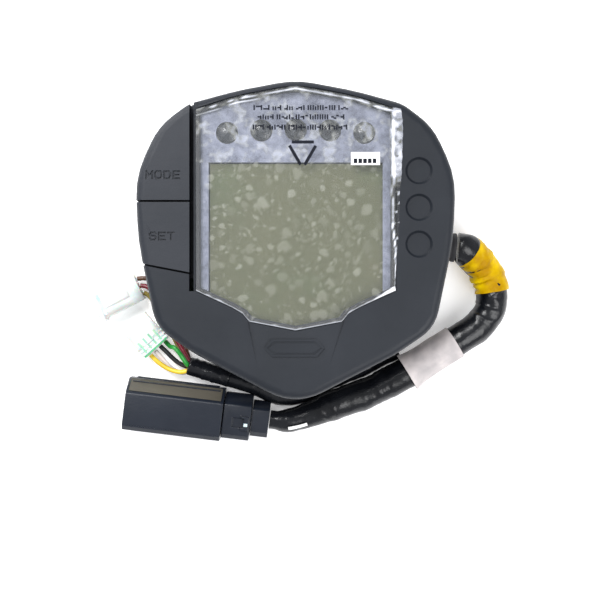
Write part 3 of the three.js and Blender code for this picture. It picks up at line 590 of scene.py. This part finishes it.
def oval(share, distance, angle):
    """The tape over the loose wires: an upright oval, drawn in at its ends, with wrinkles."""
    wide, tall = 4.2 * MM, 4.4 * MM
    drawn = min(1, 0.8 + 9 * min(share, 1 - share))
    wrinkle = 0.3 * MM * max(0, 1 - 5 * abs(wobble(distance, math.cos(angle) * wide, 2.6, 190)))
    outline = wide * tall / math.hypot(tall * math.cos(angle), wide * math.sin(angle))
    return drawn * outline + wrinkle - 0.2 * MM


SLEEVE_ROUTE = [(-28.6, -58.5, 4.6), (-34.6, -56.9, 4.6), (-40.6, -55.1, 4.6), (-46.8, -53.2, 4.6)]
wire_sleeve = tube("wire_sleeve", smooth_line(metres(SLEEVE_ROUTE), 0.6 * MM), oval, "loom_tape", 40)


def part_of(line, span):
    """The stretch of a line between two shares of its length."""
    first, last = (round(share * (len(line) - 1)) for share in span)
    return line[first:last + 1]


def main_share(span):
    """A span of the main loom as shares of the whole loom line."""
    return tuple(share * MAIN_SHARE for share in span)


WRAP_OUT = 0.75 * MM


def yellow_radius(share, distance, angle):
    """Yellow tape: three loose laps, creased across the inside of the bend."""
    lap = 0.45 * MM * ((distance / YELLOW_LAP + 0.35 * angle / math.pi) % 1)
    crease = 1.0 * MM * max(0, 1 - 3 * abs(wobble(distance, 0.5 * math.cos(angle) * LOOM_R, 5.5, 230)))
    inside = 0.5 - 0.5 * math.cos(angle)
    return LOOM_R + WRAP_OUT + lap - crease * (0.35 + 0.65 * inside)


def label_radius(share, distance, angle):
    """A paper wrap: nearly smooth, lifting off the loom at its far edge."""
    lift = max(0, (share - 0.72) / 0.28) ** 2 * (0.5 + 0.5 * math.sin(angle)) * 2.3 * MM
    dents = 0.3 * MM * wobble(distance, math.cos(angle) * LOOM_R, 9.2, 130)
    seam = 0.3 * MM if 0.3 < angle < 1.2 else 0
    return LOOM_R + WRAP_OUT + lift + dents + seam


yellow_line = part_of(loom_line, main_share(YELLOW_SPAN))
yellow_band = tube("yellow_band", yellow_line, yellow_radius, "yellow_tape", 56, LOOM_R + 0.1 * MM)
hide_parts("yellow_tape_band")
label_line = part_of(loom_line, main_share(LABEL_SPAN))
label = tube("label", label_line, label_radius, "label_lilac", 56, LOOM_R + 0.2 * MM)
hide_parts("label_wrap")


def wire_lead(name, route):
    """One loose wire, from the tape's end to a cell of its connector."""
    line = smooth_line(metres(route), 0.8 * MM)
    look = "wire_dark" if name == "wire_black" else name
    lead = tube(name + "_lead", line, lambda share, distance, angle: WIRE_R, look, 16)
    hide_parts(name)


for wire_name, wire_route in WIRE_ROUTES.items():
    wire_lead(wire_name, wire_route)

# ------------------------------------------------------------------ protective film

# The window's edge as height over distance from the middle line, in millimetres.
FILM_FOOT = [(0, -37), (19, -33.4), (21.6, -30.2), (26, -27.6), (41, -20.7)]
FILM_HEAD = [(0, 63.4), (24, 58.9), (41, 53.6)]
# The film's loose right edge: height along it, and how far right it and its white fold reach.
LOOSE_EDGE = [
    (-24, 40.9, 40.9), (-12, 41.0, 40.8), (-3, 41.8, 40.5), (8, 42.5, 39.3), (20, 42.7, 39.2),
    (25, 43.3, 39.5), (35, 43.7, 39.0), (47, 44.0, 38.8), (54, 43.2, 39.6),
]
LOOSE_HEIGHTS, LOOSE_REACHES, LOOSE_FOLDS = zip(*LOOSE_EDGE)
FILM_HALF = 40.9
FILM_STEP = 0.55
FILM_GRID = (round(82 / FILM_STEP), round(98 / FILM_STEP))
FILM_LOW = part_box("window_lens")[1][2] / MM + 0.14
FILM_WALL = 0.06 * MM
PRINT_FOOT = 32  # the height where the clear display ends and the printed mask begins
BUBBLE_COUNT = 640
(STICKER_LEFT, STICKER_FOOT), (STICKER_RIGHT, STICKER_HEAD) = [
    (corner[0] / MM, corner[1] / MM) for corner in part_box("blank_sticker")]


def edge_height(edge, x):
    """The height of the window's head or foot at a place across it, in millimetres."""
    places, heights = zip(*edge)
    return float(np.interp(abs(x), places, heights))


def soft(value, low, high):
    """0 below low, 1 above high, and smooth between."""
    share = min(max((value - low) / (high - low), 0), 1)
    return share * share * (3 - 2 * share)


def fine(x, y, scale, seed):
    """Smooth noise from -1 to 1 at a point in millimetres, with features of about so many millimetres."""
    return noise.noise(Vector((x / scale, y / scale, seed)))


def air_bubbles():
    """Trapped air under the film: middle, radius, haze. Small ones are many, and large ones few."""
    dice = random.Random(11)
    found = []
    while len(found) < BUBBLE_COUNT:
        x, y = dice.uniform(-36, 36), dice.uniform(-35, 33)
        radius = 0.4 + 2.3 * dice.random() ** 3.2
        if y - radius < edge_height(FILM_FOOT, x) + 1:
            continue
        if dice.random() > 0.55 + 0.6 * fine(x, y, 17, 4.4):
            continue
        if any((x - bx) ** 2 + (y - by) ** 2 < (0.72 * (radius + br)) ** 2 for bx, by, br, _ in found):
            continue
        found.append((x, y, radius, dice.uniform(0.02, 0.1)))
    return found


BUBBLES = air_bubbles()
BUBBLE_XY = np.array([bubble[:2] for bubble in BUBBLES])
BUBBLE_R = np.array([bubble[2] for bubble in BUBBLES])
BUBBLE_HAZE = np.array([bubble[3] for bubble in BUBBLES])


def bubble_at(x, y):
    """How far a point is inside a bubble, from 0 to 1, and that bubble's haze."""
    warp = (1.1 * fine(x, y, 2.6, 1.5), 1.1 * fine(x, y, 2.6, 8.5))
    depth = 1 - np.hypot(BUBBLE_XY[:, 0] - x - warp[0], BUBBLE_XY[:, 1] - y - warp[1]) / BUBBLE_R
    best = int(np.argmax(depth))
    return max(float(depth[best]), 0), float(BUBBLE_HAZE[best])


def head_painted_reflection(x, y, head):
    """Painted reflection of the film's edge: the irregular white line just inside the film's head, and a
    second thin one along its left part.
    """
    line = 1.15 + 0.55 * fine(x, 0, 9, 3.3)
    width = 0.32 + 0.5 * fine(x, y, 3.2, 9.1) + 0.2 * soft(x, -18, 2)
    white = (0.62 + 0.5 * fine(x, y, 6, 2.7)) * soft(width - abs(head - line), 0, 0.45)
    second = 2.5 + 0.4 * fine(x, 0, 12, 5.8)
    return max(white, 0.8 * soft(0.22 - abs(head - second), 0, 0.25) * soft(-x, 12, 20))


def foot_painted_reflection(x, y, foot):
    """Painted reflection of the film's edge: the pale lip along the film's foot, wider and whiter towards the
    right.
    """
    lip = 0.55 + 1.5 * soft(x, 29, 41) + 0.4 * fine(x, y, 3, 5.1)
    return (0.5 + 0.35 * soft(x, 24, 40)) * soft(lip - foot, 0, 0.5)


def fold_white_and_glints(x, y, fold):
    """The loose right edge: a mottled white strip high up, a thin line below, a crumpled top corner with a
    painted glint streak across it, and painted glint flecks lower down right of the fold.
    """
    upper = soft(y, 21, 27)
    corner = soft(y, 48.5, 50.5)
    past = soft(x - fold, 0, 0.5)
    holes = soft(fine(x, y, 1.9, 12.5) + 0.25 * fine(x, y, 0.9, 3.5), 0.38, 0.52)
    holes *= soft(x, fold + 1.2, fold + 2.2)
    body = 0.34 + 0.5 * fine(x, y, 2.2, 9.9) + 0.55 * soft(0.8 - abs(x - fold - 0.9), 0, 0.7)
    strip = past * (upper * min(max(body, 0.12), 1) + (1 - upper) * soft(fold + 0.9 - x, 0, 0.5))
    # Painted glints: a white streak across the crumpled corner, and white flecks right of the fold below it.
    painted_glint_streak = soft(0.4 - abs(x - 40.2 - 0.35 * (53 - y)), 0, 0.3)
    corner_crumple_and_glint = 0.3 + 0.2 * fine(x, y, 3, 4.1) + 0.6 * painted_glint_streak
    painted_glint_flecks = (1 - upper) * 0.45 * soft(fine(x, y, 1.4, 6.6), 0.28, 0.5) * soft(x - fold, 1, 1.4)
    return max(0.97 * strip * (1 - 0.85 * holes) * (1 - corner), corner_crumple_and_glint * corner * past, painted_glint_flecks)


def film_point(x, y):
    """How far the film stands over its lowest level, in millimetres, and its whiteness with the painted
    reflections and glints in it, at a point.
    """
    head, foot = edge_height(FILM_HEAD, x) - y, y - edge_height(FILM_FOOT, x)
    inside, bubble_haze = bubble_at(x, y)
    height = 0.1 * soft(inside, 0, 0.8)
    whiteness = max(bubble_haze * soft(inside, 0, 0.3), head_painted_reflection(x, y, head), foot_painted_reflection(x, y, foot))
    if y > PRINT_FOOT:
        whiteness = max(whiteness, 0.2 * soft(fine(x, y, 5.5, 2.2) + 0.6 * fine(x, y, 1.8, 6.1), 0, 0.7))
    fold = float(np.interp(y, LOOSE_HEIGHTS, LOOSE_FOLDS)) + 0.3 * fine(0, y, 5, 7.7)
    if x > fold - 1:
        whiteness = max(whiteness, fold_white_and_glints(x, y, fold))
        height += 0.95 * soft(x, 40.3, 41.6) + 0.35 * abs(fine(x, y, 2.4, 1.2)) * soft(x, fold, fold + 1)
    height += 0.2 * soft(1.6 - head, 0, 1.4) * (0.6 + fine(x, y, 3, 2.9))
    if STICKER_LEFT - 1 < x < STICKER_RIGHT + 1 and STICKER_FOOT - 1 < y < STICKER_HEAD + 1:
        height = 0.03
    return height, min(whiteness, 1)


def film_sheet():
    """The film as a thin sheet: a grid between its foot and head whose right side follows the loose edge."""
    columns, rows = FILM_GRID
    vertices, whiteness = [], []
    for j in range(rows + 1):
        for i in range(columns + 1):
            x = -FILM_HALF + 2 * FILM_HALF * i / columns
            y = float(np.interp(j / rows, [0, 1], [edge_height(FILM_FOOT, x), edge_height(FILM_HEAD, x)]))
            reach = float(np.interp(y, LOOSE_HEIGHTS, LOOSE_REACHES)) + 0.25 * fine(0, y, 2.2, 3.9)
            x += (reach - FILM_HALF) * soft(x, 34, FILM_HALF)
            height, point_whiteness = film_point(x, y)
            vertices.append((x * MM, y * MM, (FILM_LOW + height) * MM))
            whiteness.append(point_whiteness)
    across = columns + 1
    faces = []
    for j in range(rows):
        for i in range(columns):
            a = j * across + i
            faces.append((a, a + 1, a + across + 1, a + across))
    film = piece("film", vertices, faces, "film")
    layer = film.data.attributes.new("whiteness", "FLOAT", "POINT")
    layer.data.foreach_set("value", whiteness)
    wall = film.modifiers.new("wall", "SOLIDIFY")
    wall.thickness = FILM_WALL
    wall.offset = 1
    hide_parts("protective_film")
    return film


film = film_sheet()


def oblong(x0, y0, x1, y1):
    """The corner points of an upright oblong."""
    return [(x0, y0), (x1, y0), (x1, y1), (x0, y1)]


def turned(corners, origin, degrees):
    """Corner points of a piece's own frame as points of the shared frame, in millimetres."""
    c, s = math.cos(math.radians(degrees)), math.sin(math.radians(degrees))
    return [(origin[0] + c * x - s * y, origin[1] + s * x + c * y) for x, y in corners]


def bars(name, outlines, low, high, look):
    """Thin raised marks between two heights: each outline is four corner points in millimetres."""
    vertices, faces = [], []
    for corners in outlines:
        start = len(vertices)
        vertices += [(x * MM, y * MM, z * MM) for z in (low, high) for x, y in corners]
        faces += [(start + 3, start + 2, start + 1, start), (start + 4, start + 5, start + 6, start + 7)]
        faces += [(start + k, start + (k + 1) % 4, start + 4 + (k + 1) % 4, start + 4 + k) for k in range(4)]
    made = piece(name, vertices, faces, look)
    made.data.polygons.foreach_set("use_smooth", [False] * len(made.data.polygons))
    return made


# Each printed row's middle height, left end and right end.
TICK_ROWS = [(54.3, -17.3, 21.4), (50.5, -15.6, 20.1), (46.3, -17.6, 21.7)]
TICK_HALF = 1.05


def tick_rows():
    """Rows of plain tick marks printed on the film, with word-like gaps and no letters."""
    dice = random.Random(5)
    ticks = []
    for y, left, right in TICK_ROWS:
        x = left
        while x < right:
            for _ in range(dice.randint(3, 8)):
                if x > right:
                    break
                if dice.random() < 0.6:
                    top = y + dice.choice((0.5, TICK_HALF, TICK_HALF))
                    ticks.append(oblong(x, y - TICK_HALF, x + 0.6, top))
                else:
                    rise = dice.choice((-0.5, 0, 0.5))
                    ticks.append(oblong(x, y + rise - 0.32, x + 1.1, y + rise + 0.32))
                x += 1.0
            x += 0.8
    return ticks


def stroke_between(start, end, width):
    """The corner points of a stroke of a width from one point to another."""
    (x0, y0), (x1, y1) = start, end
    length = math.hypot(x1 - x0, y1 - y0)
    nx, ny = -(y1 - y0) / length * width / 2, (x1 - x0) / length * width / 2
    return [(x0 - nx, y0 - ny), (x1 - nx, y1 - ny), (x1 + nx, y1 + ny), (x0 + nx, y0 + ny)]


def triangle_strokes(middle, size, width):
    """A plain triangle standing on its point, open at each corner."""
    tips = [(middle[0] + size * math.cos(a), middle[1] + size * math.sin(a))
            for a in (math.radians(-90), math.radians(30), math.radians(150))]
    strokes = []
    for (x0, y0), (x1, y1) in zip(tips, tips[1:] + tips[:1]):
        strokes.append(stroke_between((x0 + 0.13 * (x1 - x0), y0 + 0.13 * (y1 - y0)),
                                      (x0 + 0.86 * (x1 - x0), y0 + 0.86 * (y1 - y0)), width))
    return strokes


MARKS_LOW = FILM_LOW + 0.22
printed = tick_rows() + triangle_strokes((2.9, 36.6), 7.2, 1.25)
marks = bars("film_marks", printed, MARKS_LOW, MARKS_LOW + 0.03, "ink_and_painted_shadow")
STICKER_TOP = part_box("blank_sticker")[1][2] / MM
BLOCK_PITCH = 1.95
blocks = [oblong(23.8 + BLOCK_PITCH * i, 31.5, 25.3 + BLOCK_PITCH * i, 33.4) for i in range(5)]
bars("sticker_blocks", blocks, STICKER_TOP + 0.02, STICKER_TOP + 0.06, "ink_and_painted_shadow")

# ------------------------------------------------------------------ small details

LCD_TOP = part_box("lcd_panel")[1][2] / MM
# Painted shadow: thin dark strips along the display's top and left edges stand in for the shade the mask
# casts onto the recessed display.
bars("lcd_edge_painted_shadow", [oblong(-35.9, 31.8, 35.9, 32.25), oblong(-35.9, -27, -35.45, 31.8)],
     LCD_TOP + 0.05, LCD_TOP + 0.1, "ink_and_painted_shadow")

# Each connector's own frame: its origin and turn in the shared frame.
HOOD_AT = ((-73.2, -68.9), -6.9)
RIBBED_AT = ((-60.4, -45.3), 132.6)
COLLARED_AT = ((-68.2, -18.6), 207)

CELL_ROWS = (-4.35, -1.45, 1.45, 4.35)
INNER_ROWS = CELL_ROWS[1:3]
SLOT_HALF = 0.45
CONNECTOR_MARKS = [
    # name, connector, outlines in its own frame, low and high, look, slot
    ("ribbed_slots", RIBBED_AT,
     [oblong(1.2, y - SLOT_HALF, 6.7, y + SLOT_HALF) for y in (CELL_ROWS[0], CELL_ROWS[3])]
     + [oblong(1.2, y - SLOT_HALF, 3.6, y + SLOT_HALF) for y in INNER_ROWS],
     9.5, 9.56, "nylon_green", "nylon"),
    ("ribbed_latch_slots", RIBBED_AT, [oblong(4, y - SLOT_HALF, 6.9, y + SLOT_HALF) for y in INNER_ROWS],
     10.2, 10.26, "nylon_green", "nylon"),
    ("ribbed_rim", RIBBED_AT, [oblong(-0.1, -6.4, 0.5, 6.4)], 6.4, 9.1, "rim_green", "nylon"),
    ("collared_window", COLLARED_AT, [oblong(17.1, -4.8, 18.4, 4.8)], 10, 10.08, "nylon_cyan", "nylon"),
    ("hood_rib", HOOD_AT, [oblong(2, -9.3, 40, -8.8)], 17.4, 17.8, "connector_black", "connector_black"),
    ("latch_glint", HOOD_AT, [oblong(51.6, -3.6, 53.2, -2.3)], 16.4, 16.46, "nylon", "nylon"),
]
for mark_name, connector_at, outlines, low, high, look_name, slot_name in CONNECTOR_MARKS:
    bars(mark_name, [turned(outline, *connector_at) for outline in outlines], low, high, look_name)


def hood_slope_painted_sheen():
    """The hood's sloped shoulder with painted sheen, a lighter warm brown where the slope catches the light:
    a thin plate just over the slope.
    """
    section = [(10.82, 10.1), (10.9, 10.18), (6.06, 16.5), (5.98, 16.42)]
    ends = []
    for x in (1.2, 40.8):
        for (across, y), (_, z) in zip(turned([(x, side) for side, _ in section], *HOOD_AT), section):
            ends.append((across * MM, y * MM, z * MM))
    faces = [(0, 1, 2, 3), (7, 6, 5, 4)] + [(k, k + 4, (k + 1) % 4 + 4, (k + 1) % 4) for k in range(4)]
    made = piece("hood_slope_painted_sheen", ends, faces, "painted_sheen_brown")
    made.data.polygons.foreach_set("use_smooth", [False] * len(made.data.polygons))


hood_slope_painted_sheen()


def loom_patch(name, span, angles, low, high, look):
    """A thin closed strip that lies on the loom between two shares of its line and two angles round it."""
    line = part_of(loom_line, span)
    lefts, ups = line_frames(line)
    steps = 8
    vertices, faces = [], []
    for radius in (low, high):
        for i, point in enumerate(line):
            for k in range(steps + 1):
                angle = angles[0] + (angles[1] - angles[0]) * k / steps
                vertices.append(around(point, lefts[i], ups[i], radius, angle))
    across, layer = steps + 1, len(line) * (steps + 1)
    for i in range(len(line) - 1):
        for k in range(steps):
            a = i * across + k
            faces.append((a, a + 1, a + across + 1, a + across))
            faces.append((layer + a, layer + a + across, layer + a + across + 1, layer + a + 1))
    rim = list(range(across)) + [i * across + steps for i in range(1, len(line))]
    rim += [(len(line) - 1) * across + k for k in range(steps - 1, -1, -1)]
    rim += [i * across for i in range(len(line) - 2, 0, -1)]
    faces += [(a, layer + a, layer + b, b) for a, b in zip(rim, rim[1:] + rim[:1])]
    return piece(name, vertices, faces, look)


TAIL_SPAN = (0.895, 0.945)
TAIL_ANGLES = (math.radians(52), math.radians(66))
loom_patch("tie_tail", TAIL_SPAN, TAIL_ANGLES, 5.7 * MM, 6.1 * MM, "paper")

# ------------------------------------------------------------------ floor

FLOOR_HALF = 3
floor_mesh = bpy.data.meshes.new("floor")
floor_corners = [(x, y, 0) for x, y in oblong(-FLOOR_HALF, -FLOOR_HALF, FLOOR_HALF, FLOOR_HALF)]
floor_mesh.from_pydata(floor_corners, [], [(0, 1, 2, 3)])
floor = bpy.data.objects.new("floor", floor_mesh)
scene.collection.objects.link(floor)
floor_look = Look("floor", 0.8)
floor_look.colour(floor_look.noise(3, 2), (0.93, 0.93, 0.93), (0.95, 0.95, 0.95))
floor_look.shader.inputs["Emission Color"].default_value = (1, 1, 1, 1)
floor_look.shader.inputs["Emission Strength"].default_value = 0.3
floor_mesh.materials.append(floor_look.material)
